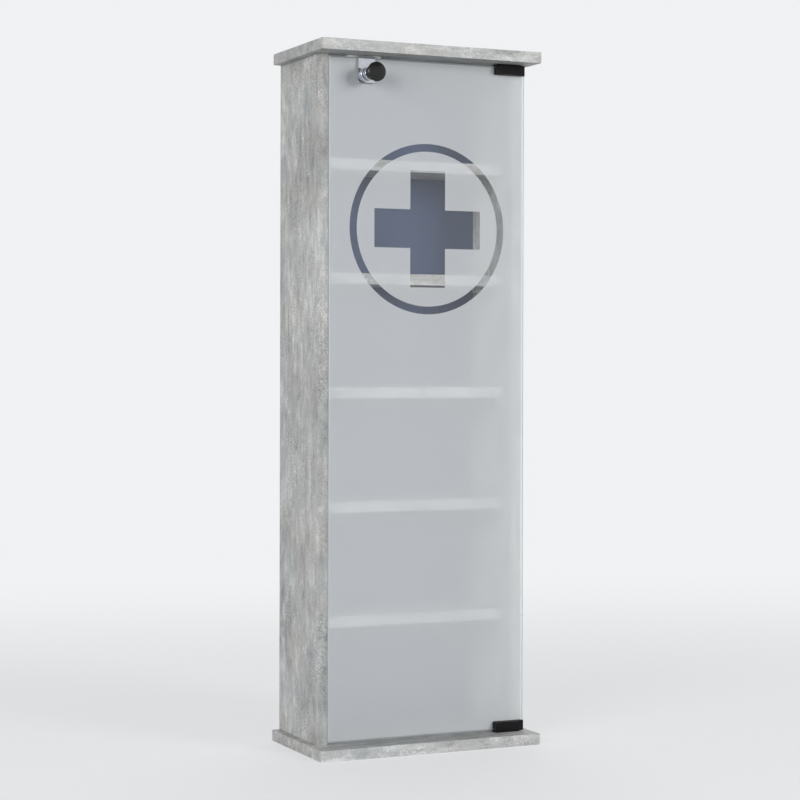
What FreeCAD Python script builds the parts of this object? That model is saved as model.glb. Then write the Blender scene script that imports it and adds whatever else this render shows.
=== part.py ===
import FreeCAD, Part
import os
import re

import Sketcher

# A wall-hung medicine cabinet with a frosted glass door that turns on two pivot clips.
# Sizes are in millimetres. In the formulas below, a length to the right starts at the left end of the
# boards, a length to the back starts at their front edge, and a height starts under the bottom board.
# The finished part has its origin on the wall, midway between the two keyholes, with its front to -Y.

SIZES = (
    # carcass
    ("overall_width", "325"),
    ("overall_depth", "177"),
    ("overall_height", "950"),
    ("board_thickness", "15"),
    ("side_thickness", "15"),
    ("side_overhang", "10.5"),
    ("edge_round", "0.6"),
    # back panel and hanging rail
    ("back_thickness", "3"),
    ("back_recess", "15"),
    ("groove_depth", "6"),
    ("groove_play", "0.5"),
    ("rail_height", "70"),
    ("rail_dowel_inset", "18"),
    # shelves and their supports
    ("shelf_count", "5"),
    ("shelf_thickness", "15"),
    ("shelf_setback", "16"),
    ("shelf_play", "0.5"),
    ("bottom_space", "153"),
    ("top_space", "136.5"),
    ("support_reach", "8"),
    ("support_width", "12"),
    ("support_height", "6"),
    ("support_inset", "20"),
    ("support_plug_radius", "2.5"),
    ("support_plug_length", "8"),
    # corner joints
    ("pin_fit", "0.05"),
    ("hole_end_play", "0.5"),
    ("dowel_radius", "4"),
    ("dowel_length", "30"),
    ("dowel_board_depth", "10"),
    ("dowel_front_inset", "20"),
    ("dowel_rear_inset", "35"),
    ("cam_radius", "7.5"),
    ("cam_length", "12"),
    ("cam_distance", "24"),
    ("cam_cross_width", "2"),
    ("cam_cross_length", "10"),
    ("cam_cross_depth", "2.5"),
    ("cam_bolt_radius", "3"),
    ("cam_bolt_head_radius", "3.5"),
    ("cam_bolt_head_length", "3"),
    ("cam_bolt_board_depth", "10"),
    # keyhole plates
    ("hanger_inset", "47"),
    ("hanger_drop", "38"),
    ("plate_width", "22"),
    ("plate_height", "56"),
    ("plate_thickness", "1.5"),
    ("plate_below_entry", "22"),
    ("keyhole_radius", "5"),
    ("keyhole_slot_radius", "2.5"),
    ("keyhole_slot_rise", "12"),
    ("keyhole_pocket_depth", "10"),
    ("keyhole_pocket_margin", "2"),
    ("plate_screw_inset", "6"),
    ("plate_screw_radius", "1.5"),
    ("plate_screw_head_radius", "2.8"),
    ("plate_screw_length", "11"),
    ("screw_cross_width", "0.9"),
    ("screw_cross_length", "3"),
    ("screw_cross_depth", "1.1"),
    # door pane and its frosted layer
    ("door_setback", "33"),
    ("door_standoff", "3"),
    ("door_gap", "3.5"),
    ("door_left_lap", "1.5"),
    ("door_right_reach", "1"),
    ("glass_thickness", "4"),
    ("glass_arris", "0.4"),
    ("film_bond", "0.05"),
    ("film_thickness", "0.2"),
    ("film_margin", "1"),
    ("film_clip_gap", "0.5"),
    ("sign_drop", "226.4"),
    ("sign_radius", "115.5"),
    ("sign_ring_width", "10.4"),
    ("sign_cross_length", "158.4"),
    ("sign_arm_width", "52.2"),
    # hinge clips, pins and bushes
    ("clip_length", "46"),
    ("clip_height", "13.5"),
    ("clip_plate", "1.5"),
    ("clip_web", "2.2"),
    ("clip_pad_thickness", "4"),
    ("clip_pad_setback", "4"),
    ("clip_pad_round", "0.6"),
    ("clip_end_reach", "1.25"),
    ("clip_end_gap", "0.25"),
    ("clip_corner_round", "3"),
    ("liner_thickness", "0.5"),
    ("boss_inset", "2"),
    ("boss_length", "20"),
    ("boss_thickness", "2.5"),
    ("set_screw_inset", "5"),
    ("set_screw_radius", "2"),
    ("set_screw_socket", "1.15"),
    ("set_screw_socket_depth", "2"),
    ("pin_inset", "3.6"),
    ("hinge_pin_radius", "2"),
    ("hinge_pin_reach", "9"),
    ("bush_radius", "3.5"),
    ("bush_flange_radius", "4.5"),
    ("bush_depth", "11"),
    ("door_lift_play", "0.3"),
    ("door_seat_play", "0.05"),
    # knob and its clip
    ("knob_inset", "53"),
    ("knob_drop", "24"),
    ("knob_clip_width", "24"),
    ("knob_clip_height", "35"),
    ("knob_clip_plate", "1"),
    ("knob_clip_round", "2.5"),
    ("knob_clip_bend", "0.8"),
    ("knob_rivet_radius", "2"),
    ("knob_rivet_reach", "10"),
    ("knob_base_radius", "9.5"),
    ("knob_base_length", "3.5"),
    ("knob_groove_radius", "6.5"),
    ("knob_groove_length", "1.5"),
    ("knob_ring_radius", "7.8"),
    ("knob_ring_length", "7"),
    ("knob_lip_radius", "9.3"),
    ("knob_lip_length", "3"),
    ("knob_edge_round", "0.4"),
    ("knob_spigot_radius", "4"),
    ("knob_spigot_length", "6"),
    ("knob_cap_radius", "13"),
    ("knob_cap_neck_radius", "7.6"),
    ("knob_cap_neck_length", "2.5"),
    ("knob_cap_waist_radius", "6.5"),
    ("knob_cap_flare_length", "12"),
    ("knob_cap_flare_curve", "14"),
    ("knob_cap_rim_length", "2.6"),
    ("knob_cap_rim_round", "0.8"),
    ("knob_cap_dome_height", "4"),
    # magnet catch
    ("catch_flange_width", "48"),
    ("catch_flange_thickness", "2.5"),
    ("catch_width", "30"),
    ("catch_depth", "14"),
    ("catch_height", "12"),
    ("catch_wall", "1.5"),
    ("pole_width", "25"),
    ("pole_depth", "10"),
    ("pole_thickness", "1.2"),
    ("pole_protrusion", "0.6"),
    ("magnet_thickness", "5"),
    ("magnet_setback", "1"),
    ("catch_screw_radius", "1.5"),
    ("catch_screw_head_radius", "2.8"),
    ("catch_screw_head_length", "1.8"),
    ("catch_screw_length", "12"),
)

PLACES = (
    # carcass
    ("inner_left", "side_overhang + side_thickness"),
    ("inner_right", "overall_width - inner_left"),
    ("inner_width", "inner_right - inner_left"),
    ("inner_top", "overall_height - board_thickness"),
    ("inner_height", "inner_top - board_thickness"),
    ("glass_back", "door_setback + glass_thickness"),
    ("side_front", "glass_back + door_standoff"),
    ("side_depth", "overall_depth - side_front"),
    ("side_middle", "side_overhang + side_thickness / 2"),
    ("back_rear", "overall_depth - back_recess"),
    ("back_front", "back_rear - back_thickness"),
    ("back_tongue", "groove_depth - groove_play"),
    ("rail_low", "inner_top - rail_height"),
    ("rail_middle", "back_rear + back_recess / 2"),
    ("dowel_front", "side_front + dowel_front_inset"),
    ("dowel_rear", "overall_depth - dowel_rear_inset"),
    ("cam_place", "(dowel_front + dowel_rear) / 2"),
    ("cam_hole_depth", "cam_length + hole_end_play"),
    ("cam_bolt_shank_length", "cam_bolt_board_depth + cam_distance - cam_bolt_head_length"),
    ("cam_bore_radius", "cam_bolt_head_radius + hole_end_play"),
    ("dowel_far_depth", "dowel_length - dowel_board_depth"),
    # shelves
    ("shelf_front", "side_front + shelf_setback"),
    ("shelf_depth", "back_front - shelf_play - shelf_front"),
    ("shelf_width", "inner_width - 2 * shelf_play"),
    ("shelf_pitch", "(inner_height - bottom_space - top_space - shelf_thickness) / (shelf_count - 1)"),
    ("lowest_shelf", "board_thickness + bottom_space"),
    ("support_front", "shelf_front + support_inset"),
    ("support_rear", "shelf_front + shelf_depth - support_inset"),
    # keyholes
    ("hanger_spacing", "inner_width - 2 * hanger_inset"),
    ("hanger_height", "inner_top - hanger_drop"),
    ("plate_low", "hanger_height - plate_below_entry"),
    ("keyhole_pocket_half", "keyhole_radius + keyhole_pocket_margin"),
    ("plate_sink", "plate_screw_head_radius - plate_screw_radius"),
    # door pane
    ("glass_left", "inner_left - door_left_lap"),
    ("glass_right", "overall_width - side_overhang + door_right_reach"),
    ("glass_width", "glass_right - glass_left"),
    ("glass_low", "board_thickness + door_gap"),
    ("glass_high", "inner_top - door_gap"),
    ("glass_height", "glass_high - glass_low"),
    ("film_front", "glass_back + film_bond"),
    ("sign_right", "(glass_left + glass_right) / 2"),
    ("sign_height", "glass_high - sign_drop"),
    # hinge clips
    ("clip_right", "glass_right + clip_end_reach"),
    ("clip_left", "clip_right - clip_length"),
    ("clip_front", "door_setback - liner_thickness - clip_plate"),
    ("clip_slot", "glass_thickness + 2 * liner_thickness"),
    ("clip_depth", "clip_slot + 2 * clip_plate"),
    ("clip_slot_length", "clip_length - clip_end_reach + clip_end_gap"),
    ("clip_inner_height", "clip_height - clip_web"),
    ("clip_low", "glass_low - liner_thickness - clip_web"),
    ("clip_high", "glass_high + liner_thickness + clip_web"),
    ("clip_boss_back", "clip_front + clip_depth + boss_thickness"),
    ("clip_pad_length", "clip_length - pin_inset - clip_pad_setback"),
    ("hinge_right", "clip_right - pin_inset"),
    ("hinge_back", "door_setback + glass_thickness / 2"),
    ("bush_flange_low", "clip_low - board_thickness - door_seat_play"),
    ("bush_flange_high", "inner_top - clip_high - door_lift_play"),
    ("hinge_pin_length", "clip_web + bush_flange_low + hinge_pin_reach"),
    ("set_screw_length", "boss_thickness + clip_plate"),
    # knob and catch
    ("knob_right", "glass_left + knob_inset"),
    ("knob_clip_left", "knob_right - knob_clip_width / 2"),
    ("knob_clip_front", "door_setback - liner_thickness - knob_clip_plate"),
    ("knob_clip_depth", "clip_slot + 2 * knob_clip_plate"),
    ("knob_clip_high", "glass_high + liner_thickness + knob_clip_plate"),
    ("knob_clip_low", "knob_clip_high - knob_clip_height"),
    ("knob_height", "knob_clip_high - knob_drop"),
    ("knob_ring_start", "knob_base_length + knob_groove_length"),
    ("knob_ring_end", "knob_ring_start + knob_ring_length"),
    ("knob_lip_start", "knob_ring_end + knob_groove_length"),
    ("knob_collar_length", "knob_lip_start + knob_lip_length"),
    ("knob_cap_flare_end", "knob_cap_neck_length + knob_cap_flare_length"),
    ("knob_cap_rim_end", "knob_cap_flare_end + knob_cap_rim_length"),
    ("knob_cap_length", "knob_cap_rim_end + knob_cap_dome_height"),
    ("knob_cap_dome_curve", "(knob_cap_radius ^ 2 + knob_cap_dome_height ^ 2) / (2 * knob_cap_dome_height)"),
    ("catch_front", "knob_clip_front + knob_clip_depth + pole_protrusion"),
    ("catch_low", "inner_top - catch_height"),
    ("pole_front", "catch_front - pole_protrusion"),
    ("pole_gap_low", "catch_low + catch_wall"),
    ("catch_cavity_height", "2 * pole_thickness + magnet_thickness"),
    ("catch_cavity_depth", "pole_depth - pole_protrusion"),
    ("catch_screw_place", "(catch_flange_width + catch_width) / 4"),
    ("catch_screw_back", "catch_front + catch_depth / 2"),
)

ROUND = 360
SOCKET_SIDE_COUNT = 6

UP = FreeCAD.Rotation()
DOWN = FreeCAD.Rotation(FreeCAD.Vector(1, 0, 0), 180)
RIGHT = FreeCAD.Rotation(FreeCAD.Vector(0, 1, 0), 90)
LEFT = FreeCAD.Rotation(FreeCAD.Vector(0, 1, 0), -90)
FORWARD = FreeCAD.Rotation(FreeCAD.Vector(1, 0, 0), 90)
BACKWARD = FreeCAD.Rotation(FreeCAD.Vector(1, 0, 0), -90)

doc = FreeCAD.newDocument("medicine_cabinet")
sheet = doc.addObject("Spreadsheet::Sheet", "Size")
aliases = set()
pieces = []


def fill_sheet():
    """Write the driving sizes as plain numbers, and the places that follow from them as formulas."""
    rows = [*SIZES, *((alias, "=" + text) for alias, text in PLACES)]
    for row, (alias, text) in enumerate(rows, start=1):
        sheet.set(f"A{row}", alias)
        sheet.set(f"B{row}", text)
        sheet.setAlias(f"B{row}", alias)
        aliases.add(alias)
    doc.recompute()


def formula(words):
    """Turn a formula in plain size names into one that refers to the sheet."""
    return re.sub(r"[a-z][a-z_]*", lambda name: "Size." + name.group(0), words)


def value(words):
    """Work a formula out as a number."""
    return float(sheet.evalExpression(formula(words)))


def bind(thing, **properties):
    """Bind properties of a document object to formulas."""
    for name, words in properties.items():
        thing.setExpression(name, formula(words))


def put(thing, right, back, height, turn=UP):
    """Place an object by formulas for its distance from the left, from the front and from below."""
    thing.Placement = FreeCAD.Placement(FreeCAD.Vector(), turn)
    thing.setExpression("Placement.Base.x", formula(f"({right}) - overall_width / 2"))
    thing.setExpression("Placement.Base.y", formula(f"({back}) - overall_depth"))
    thing.setExpression("Placement.Base.z", formula(f"({height}) - hanger_height"))
    return thing


def keep(thing, label):
    """Name a finished piece, which gets a file of its own."""
    thing.Label = label
    pieces.append(thing)
    return thing


def sketch_on(body, role, along="0"):
    """Open a sketch on an origin plane of the body, moved along the plane's normal."""
    sketch = body.newObject("Sketcher::SketchObject", "Sketch")
    plane = next(feature for feature in body.Origin.OriginFeatures if feature.Role == role)
    sketch.AttachmentSupport = [(plane, "")]
    sketch.MapMode = "FlatFace"
    sketch.setExpression("AttachmentOffset.Base.z", formula(along))
    return sketch


def measure(sketch, kind, place, words):
    """Add a sized constraint between points or on a curve, driven by a formula."""
    index = sketch.addConstraint(Sketcher.Constraint(kind, *place, value(words)))
    sketch.setExpression(f"Constraints[{index}]", formula(words))


def outline(sketch, points, arcs=None):
    """Draw a closed outline through points given by formulas.

    arcs maps the number of a stretch to the formula for its radius. A negative radius bends the
    stretch to the right of the way it runs, a positive one to the left.
    """
    arcs = arcs or {}
    corners = [FreeCAD.Vector(value(x), value(y), 0) for x, y in points]
    first_ends = []
    last_ends = []
    for index, start in enumerate(corners):
        end = corners[(index + 1) % len(corners)]
        if index in arcs:
            radius = value(arcs[index])
            half = (end - start) * 0.5
            side = FreeCAD.Vector(half.y, -half.x, 0).normalize()
            rise = abs(radius) - (radius * radius - half.Length ** 2) ** 0.5
            middle = start + half + side * (rise if radius > 0 else -rise)
            curve = sketch.addGeometry(Part.Arc(start, middle, end), False)
            swapped = sketch.getPoint(curve, 1).distanceToPoint(start) > half.Length
        else:
            curve = sketch.addGeometry(Part.LineSegment(start, end), False)
            swapped = False
        first_ends.append((curve, 2 if swapped else 1))
        last_ends.append((curve, 1 if swapped else 2))
    for index, last in enumerate(last_ends):
        following = first_ends[(index + 1) % len(corners)]
        sketch.addConstraint(Sketcher.Constraint("Coincident", *last, *following))
    for index, (x, y) in enumerate(points):
        measure(sketch, "DistanceX", (-1, 1, *first_ends[index]), x)
        measure(sketch, "DistanceY", (-1, 1, *first_ends[index]), y)
    for index, words in arcs.items():
        measure(sketch, "Radius", (first_ends[index][0],), words.lstrip("-"))


def rectangle(sketch, left, low, width, height):
    """Draw a rectangle from its lower left corner and its size."""
    right = f"{left} + {width}"
    high = f"{low} + {height}"
    outline(sketch, [(left, low), (right, low), (right, high), (left, high)])


def circles(sketch, centres, radius):
    """Draw equal circles at centres given by formulas."""
    for x, y in centres:
        middle = FreeCAD.Vector(value(x), value(y), 0)
        curve = sketch.addGeometry(Part.Circle(middle, FreeCAD.Vector(0, 0, 1), value(radius)), False)
        measure(sketch, "Radius", (curve,), radius)
        measure(sketch, "DistanceX", (-1, 1, curve, 3), x)
        measure(sketch, "DistanceY", (-1, 1, curve, 3), y)


def new_body():
    """Start a solid body."""
    return doc.addObject("PartDesign::Body", "Body")


def pad(body, sketch, length, backwards=False):
    """Raise a sketch into material, along its normal or backwards."""
    feature = body.newObject("PartDesign::Pad", "Pad")
    feature.Profile = sketch
    feature.Reversed = backwards
    bind(feature, Length=length)
    doc.recompute()
    return feature


def pocket(body, sketch, depth, along_normal=False):
    """Cut a sketch out of the body, against its normal or along it."""
    before = body.Shape.Volume
    feature = body.newObject("PartDesign::Pocket", "Pocket")
    feature.Profile = sketch
    feature.Reversed = along_normal
    bind(feature, Length=depth)
    doc.recompute()
    if body.Shape.Volume >= before:
        raise RuntimeError("a pocket cut nothing")
    return feature


def edges_of(feature, test):
    """Name the edges of a feature that pass a test."""
    edges = enumerate(feature.Shape.Edges, start=1)
    return [f"Edge{number}" for number, edge in edges if not edge.Degenerated and test(edge)]


def round_edges(body, feature, radius, test=lambda edge: True):
    """Round the edges of a feature that pass a test."""
    fillet = body.newObject("PartDesign::Fillet", "Fillet")
    fillet.Base = (feature, edges_of(feature, test))
    bind(fillet, Radius=radius)
    doc.recompute()
    return fillet


def bevel_edges(body, feature, size, test):
    """Bevel the edges of a feature that pass a test."""
    chamfer = body.newObject("PartDesign::Chamfer", "Chamfer")
    chamfer.Base = (feature, edges_of(feature, test))
    bind(chamfer, Size=size)
    doc.recompute()
    return chamfer


def revolve(body, points, arcs=None):
    """Turn an outline of radius and length about the upright axis of the body."""
    sketch = sketch_on(body, "XZ_Plane")
    outline(sketch, points, arcs)
    feature = body.newObject("PartDesign::Revolution", "Revolution")
    feature.Profile = sketch
    feature.ReferenceAxis = (sketch, ["V_Axis"])
    feature.Angle = ROUND
    doc.recompute()
    return feature


def rounded_panel(width, depth, thickness):
    """Make a panel with softly rounded edges."""
    body = new_body()
    sketch = sketch_on(body, "XY_Plane")
    rectangle(sketch, "0", "0", width, depth)
    block = pad(body, sketch, thickness)
    round_edges(body, block, "edge_round")
    return body


def block(right, back, height, width, depth, tall):
    """Make a plain block."""
    box = doc.addObject("Part::Box", "Block")
    bind(box, Length=width, Width=depth, Height=tall)
    return put(box, right, back, height)


def rod(right, back, height, radius, length, turn=UP):
    """Make a plain rod that runs from a point in the turned direction."""
    cylinder = doc.addObject("Part::Cylinder", "Rod")
    bind(cylinder, Radius=radius, Height=length)
    return put(cylinder, right, back, height, turn)


def taper(right, back, height, start_radius, end_radius, length, turn=UP):
    """Make a plain cone that runs from a point in the turned direction."""
    cone = doc.addObject("Part::Cone", "Taper")
    bind(cone, Radius1=start_radius, Radius2=end_radius, Height=length)
    return put(cone, right, back, height, turn)


def join(shapes):
    """Join touching solids into one."""
    fused = doc.addObject("Part::MultiFuse", "Join")
    fused.Shapes = shapes
    return fused


def cut(base, tool):
    """Cut one solid out of another."""
    difference = doc.addObject("Part::Cut", "Cut")
    difference.Base = base
    difference.Tool = tool
    return difference


def cross_recess(place, axis, width, length, depth):
    """Make a cross that runs from a place along one axis: 0 is right, 1 is back and 2 is up."""
    bars = []
    for sizes in ([width, length], [length, width]):
        sizes.insert(axis, depth)
        corner = [f"{middle} - {size} / 2" for middle, size in zip(place, sizes)]
        corner[axis] = place[axis]
        bars.append(block(*corner, *sizes))
    return join(bars)


def group(label, members):
    """Gather like pieces, which stay separate solids, under one name."""
    compound = doc.addObject("Part::Compound", "Group")
    compound.Links = members
    return keep(compound, label)


def make_board(label, height, is_top):
    """Top or bottom board: groove, dowel holes, cam bolt holes and the hole for the pivot bush."""
    body = rounded_panel("overall_width", "overall_depth", "board_thickness")
    inner_face = "0" if is_top else "board_thickness"
    side_lines = ("side_middle", "overall_width - side_middle")

    sketch = sketch_on(body, "XY_Plane", inner_face)
    groove_length = "inner_width + 2 * groove_depth"
    rectangle(sketch, "inner_left - groove_depth", "back_front", groove_length, "back_thickness")
    pocket(body, sketch, "groove_depth", is_top)

    sketch = sketch_on(body, "XY_Plane", inner_face)
    dowels = [(x, y) for x in side_lines for y in ("dowel_front", "dowel_rear")]
    circles(sketch, dowels, "dowel_radius + pin_fit")
    pocket(body, sketch, "dowel_board_depth + hole_end_play", is_top)

    sketch = sketch_on(body, "XY_Plane", inner_face)
    circles(sketch, [(x, "cam_place") for x in side_lines], "cam_bolt_radius + pin_fit")
    pocket(body, sketch, "cam_bolt_board_depth + hole_end_play", is_top)

    sketch = sketch_on(body, "XY_Plane", inner_face)
    circles(sketch, [("hinge_right", "hinge_back")], "bush_radius + pin_fit")
    pocket(body, sketch, "bush_depth + hole_end_play", is_top)

    if is_top:
        sketch = sketch_on(body, "XY_Plane", inner_face)
        screws = [(f"knob_right {sign} catch_screw_place", "catch_screw_back") for sign in "-+"]
        circles(sketch, screws, "catch_screw_radius + pin_fit")
        pocket(body, sketch, "catch_screw_length - catch_flange_thickness + hole_end_play", is_top)
    keep(put(body, "0", "0", height), label)


def make_side(label, right, is_right):
    """Side panel: groove, cam holes, support holes and rail dowels inside, dowel holes in both ends."""
    body = new_body()
    sketch = sketch_on(body, "XY_Plane")
    rectangle(sketch, "0", "0", "side_thickness", "side_depth")
    panel = pad(body, sketch, "inner_height")
    round_edges(body, panel, "edge_round")
    inner_face = "0" if is_right else "side_thickness"

    sketch = sketch_on(body, "YZ_Plane", inner_face)
    rectangle(sketch, "back_front - side_front", "0", "back_thickness", "inner_height")
    pocket(body, sketch, "groove_depth", is_right)

    sketch = sketch_on(body, "YZ_Plane", inner_face)
    cam_heights = ("cam_distance", "inner_height - cam_distance")
    circles(sketch, [("cam_place - side_front", z) for z in cam_heights], "cam_radius + pin_fit")
    pocket(body, sketch, "cam_hole_depth", is_right)

    sketch = sketch_on(body, "YZ_Plane", inner_face)
    plugs = []
    for number in range(1, int(value("shelf_count")) + 1):
        plug_height = f"bottom_space + {number - 1} * shelf_pitch - support_height / 2"
        plugs += [(f"{y} - side_front", plug_height) for y in ("support_front", "support_rear")]
    circles(sketch, plugs, "support_plug_radius + pin_fit")
    pocket(body, sketch, "support_plug_length + hole_end_play", is_right)

    sketch = sketch_on(body, "YZ_Plane", inner_face)
    rail_heights = ("inner_height - rail_dowel_inset", "inner_height - rail_height + rail_dowel_inset")
    circles(sketch, [("rail_middle - side_front", z) for z in rail_heights], "dowel_radius + pin_fit")
    pocket(body, sketch, "dowel_board_depth + hole_end_play", is_right)

    for end, upwards in (("0", True), ("inner_height", False)):
        sketch = sketch_on(body, "XY_Plane", end)
        dowels = [("side_thickness / 2", f"{y} - side_front") for y in ("dowel_front", "dowel_rear")]
        circles(sketch, dowels, "dowel_radius + pin_fit")
        pocket(body, sketch, "dowel_far_depth + hole_end_play", upwards)
        sketch = sketch_on(body, "XY_Plane", end)
        circles(sketch, [("side_thickness / 2", "cam_place - side_front")], "cam_bore_radius")
        pocket(body, sketch, "cam_distance", upwards)
    keep(put(body, right, "side_front", "board_thickness"), label)


def make_back_panel():
    """Thin back panel, whose edges sit in the grooves."""
    panel = block(
        "inner_left - back_tongue",
        "back_front",
        "board_thickness - back_tongue",
        "inner_width + 2 * back_tongue",
        "back_thickness",
        "inner_height + 2 * back_tongue",
    )
    keep(panel, "back_panel")


def make_hanging_rail():
    """Rail behind the back panel, with seats for the keyhole plates in its rear face."""
    body = new_body()
    sketch = sketch_on(body, "XY_Plane")
    rectangle(sketch, "0", "0", "inner_width", "back_recess")
    pad(body, sketch, "rail_height")

    rear = "-back_recess"
    entries = [f"inner_width / 2 {sign} hanger_spacing / 2" for sign in "-+"]
    for x in entries:
        sketch = sketch_on(body, "XZ_Plane", rear)
        rectangle(sketch, f"{x} - plate_width / 2", "plate_low - rail_low", "plate_width", "plate_height")
        pocket(body, sketch, "plate_thickness", True)
        sketch = sketch_on(body, "XZ_Plane", rear)
        rectangle(
            sketch,
            f"{x} - keyhole_pocket_half",
            "hanger_height - rail_low - keyhole_pocket_half",
            "2 * keyhole_pocket_half",
            "2 * keyhole_pocket_half + keyhole_slot_rise",
        )
        pocket(body, sketch, "keyhole_pocket_depth", True)
        sketch = sketch_on(body, "XZ_Plane", rear)
        screw_heights = (
            "plate_low - rail_low + plate_screw_inset",
            "plate_low - rail_low + plate_height - plate_screw_inset",
        )
        circles(sketch, [(x, z) for z in screw_heights], "plate_screw_radius + pin_fit")
        pocket(body, sketch, "plate_screw_length + hole_end_play", True)

    for end, rightwards in (("0", True), ("inner_width", False)):
        sketch = sketch_on(body, "YZ_Plane", end)
        heights = ("rail_height - rail_dowel_inset", "rail_dowel_inset")
        circles(sketch, [("back_recess / 2", z) for z in heights], "dowel_radius + pin_fit")
        pocket(body, sketch, "dowel_far_depth + hole_end_play", rightwards)
    keep(put(body, "inner_left", "back_rear", "rail_low"), "hanging_rail")


def make_keyhole_plate(label, right):
    """Steel plate with a keyhole and two sunk screw holes, flush with the wall."""
    body = new_body()
    sketch = sketch_on(body, "XZ_Plane")
    rectangle(sketch, "0", "0", "plate_width", "plate_height")
    pad(body, sketch, "plate_thickness", True)

    sketch = sketch_on(body, "XZ_Plane")
    circles(sketch, [("plate_width / 2", "plate_below_entry")], "keyhole_radius")
    pocket(body, sketch, "plate_thickness")
    sketch = sketch_on(body, "XZ_Plane")
    slot_left = "plate_width / 2 - keyhole_slot_radius"
    rectangle(sketch, slot_left, "plate_below_entry", "2 * keyhole_slot_radius", "keyhole_slot_rise")
    pocket(body, sketch, "plate_thickness")
    sketch = sketch_on(body, "XZ_Plane")
    slot_top = "plate_below_entry + keyhole_slot_rise"
    circles(sketch, [("plate_width / 2", slot_top)], "keyhole_slot_radius")
    pocket(body, sketch, "plate_thickness")

    sketch = sketch_on(body, "XZ_Plane")
    heights = ("plate_screw_inset", "plate_height - plate_screw_inset")
    circles(sketch, [("plate_width / 2", z) for z in heights], "plate_screw_radius + pin_fit")
    holes = pocket(body, sketch, "plate_thickness")
    hole_radius = value("plate_screw_radius + pin_fit")
    rear = value("plate_thickness")
    small = value("pin_fit") / 2

    def is_sunk_rim(edge):
        if not isinstance(edge.Curve, Part.Circle):
            return False
        same_radius = abs(edge.Curve.Radius - hole_radius) < small
        return same_radius and abs(edge.Curve.Center.y - rear) < small

    bevel_edges(body, holes, "plate_sink", is_sunk_rim)
    keep(put(body, f"{right} - plate_width / 2", "overall_depth - plate_thickness", "plate_low"), label)


def make_plate_screws():
    """Countersunk screws that hold the keyhole plates to the rail."""
    screw_cross = ("screw_cross_width", "screw_cross_length", "screw_cross_depth")
    screws = []
    for sign in "-+":
        right = f"overall_width / 2 {sign} hanger_spacing / 2"
        for height in ("plate_low + plate_screw_inset", "plate_low + plate_height - plate_screw_inset"):
            place = (right, "overall_depth", height)
            head = taper(*place, "plate_screw_head_radius", "plate_screw_radius", "plate_sink", FORWARD)
            shank = rod(*place, "plate_screw_radius", "plate_screw_length", FORWARD)
            recess = cross_recess((right, "overall_depth - screw_cross_depth", height), 1, *screw_cross)
            screws.append(cut(join([head, shank]), recess))
    group("keyhole_plate_screws", screws)


def make_shelves():
    """Shelves at an even pitch."""
    for number in range(1, int(value("shelf_count")) + 1):
        body = rounded_panel("shelf_width", "shelf_depth", "shelf_thickness")
        height = f"lowest_shelf + {number - 1} * shelf_pitch"
        put(body, "inner_left + shelf_play", "shelf_front", height)
        keep(body, f"shelf_{number}")


def make_shelf_supports():
    """Supports under the corners of each shelf, plugged into the sides."""
    supports = []
    for number in range(1, int(value("shelf_count")) + 1):
        low = f"lowest_shelf + {number - 1} * shelf_pitch - support_height"
        for back in ("support_front", "support_rear"):
            for inner, foot, turn in (
                ("inner_left", "inner_left", LEFT),
                ("inner_right", "inner_right - support_reach", RIGHT),
            ):
                front = f"{back} - support_width / 2"
                ledge = block(foot, front, low, "support_reach", "support_width", "support_height")
                middle = f"{low} + support_height / 2"
                plug = rod(inner, back, middle, "support_plug_radius", "support_plug_length", turn)
                supports.append(join([ledge, plug]))
    group("shelf_supports", supports)


def make_dowels():
    """Wood dowels between boards and sides, and between rail and sides."""
    dowels = []
    for right in ("side_middle", "overall_width - side_middle"):
        for back in ("dowel_front", "dowel_rear"):
            for height in ("board_thickness - dowel_board_depth", "inner_top - dowel_far_depth"):
                dowels.append(rod(right, back, height, "dowel_radius", "dowel_length"))
    for height in ("inner_top - rail_dowel_inset", "rail_low + rail_dowel_inset"):
        for right, turn in (
            ("inner_left - dowel_board_depth", RIGHT),
            ("inner_right + dowel_board_depth", LEFT),
        ):
            dowels.append(rod(right, "rail_middle", height, "dowel_radius", "dowel_length", turn))
    group("dowels", dowels)


def make_cams():
    """Cam bolts, screwed into the boards, and the cam discs that draw them tight from inside."""
    bolts = []
    discs = []
    for right, inner, slot_left, turn in (
        ("side_middle", "inner_left", "inner_left - cam_cross_depth", LEFT),
        ("overall_width - side_middle", "inner_right", "inner_right", RIGHT),
    ):
        for face, inwards, outwards, way in (
            ("board_thickness", "+", "-", UP),
            ("inner_top", "-", "+", DOWN),
        ):
            start = f"{face} {outwards} cam_bolt_board_depth"
            head_start = f"{face} {inwards} (cam_distance - cam_bolt_head_length)"
            shank = rod(right, "cam_place", start, "cam_bolt_radius", "cam_bolt_shank_length", way)
            head = rod(right, "cam_place", head_start, "cam_bolt_head_radius", "cam_bolt_head_length", way)
            bolts.append(join([shank, head]))

            centre = f"{face} {inwards} cam_distance"
            disc = rod(inner, "cam_place", centre, "cam_radius", "cam_length", turn)
            mouth = f"{centre} {outwards} cam_radius"
            channel = rod(right, "cam_place", mouth, "cam_bore_radius", "2 * cam_radius", way)
            place = (slot_left, "cam_place", centre)
            cross = cross_recess(place, 0, "cam_cross_width", "cam_cross_length", "cam_cross_depth")
            discs.append(cut(disc, join([channel, cross])))
    group("cam_bolts", bolts)
    group("cam_discs", discs)


def make_bush(label, height, flange, turn):
    """Flanged nylon bush that carries a hinge pin in its board."""
    body = new_body()
    bore = "hinge_pin_radius + pin_fit"
    top = f"bush_depth + {flange}"
    section = [
        (bore, "0"),
        ("bush_radius", "0"),
        ("bush_radius", "bush_depth"),
        ("bush_flange_radius", "bush_depth"),
        ("bush_flange_radius", top),
        (bore, top),
    ]
    revolve(body, section)
    keep(put(body, "hinge_right", "hinge_back", height, turn), label)


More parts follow.
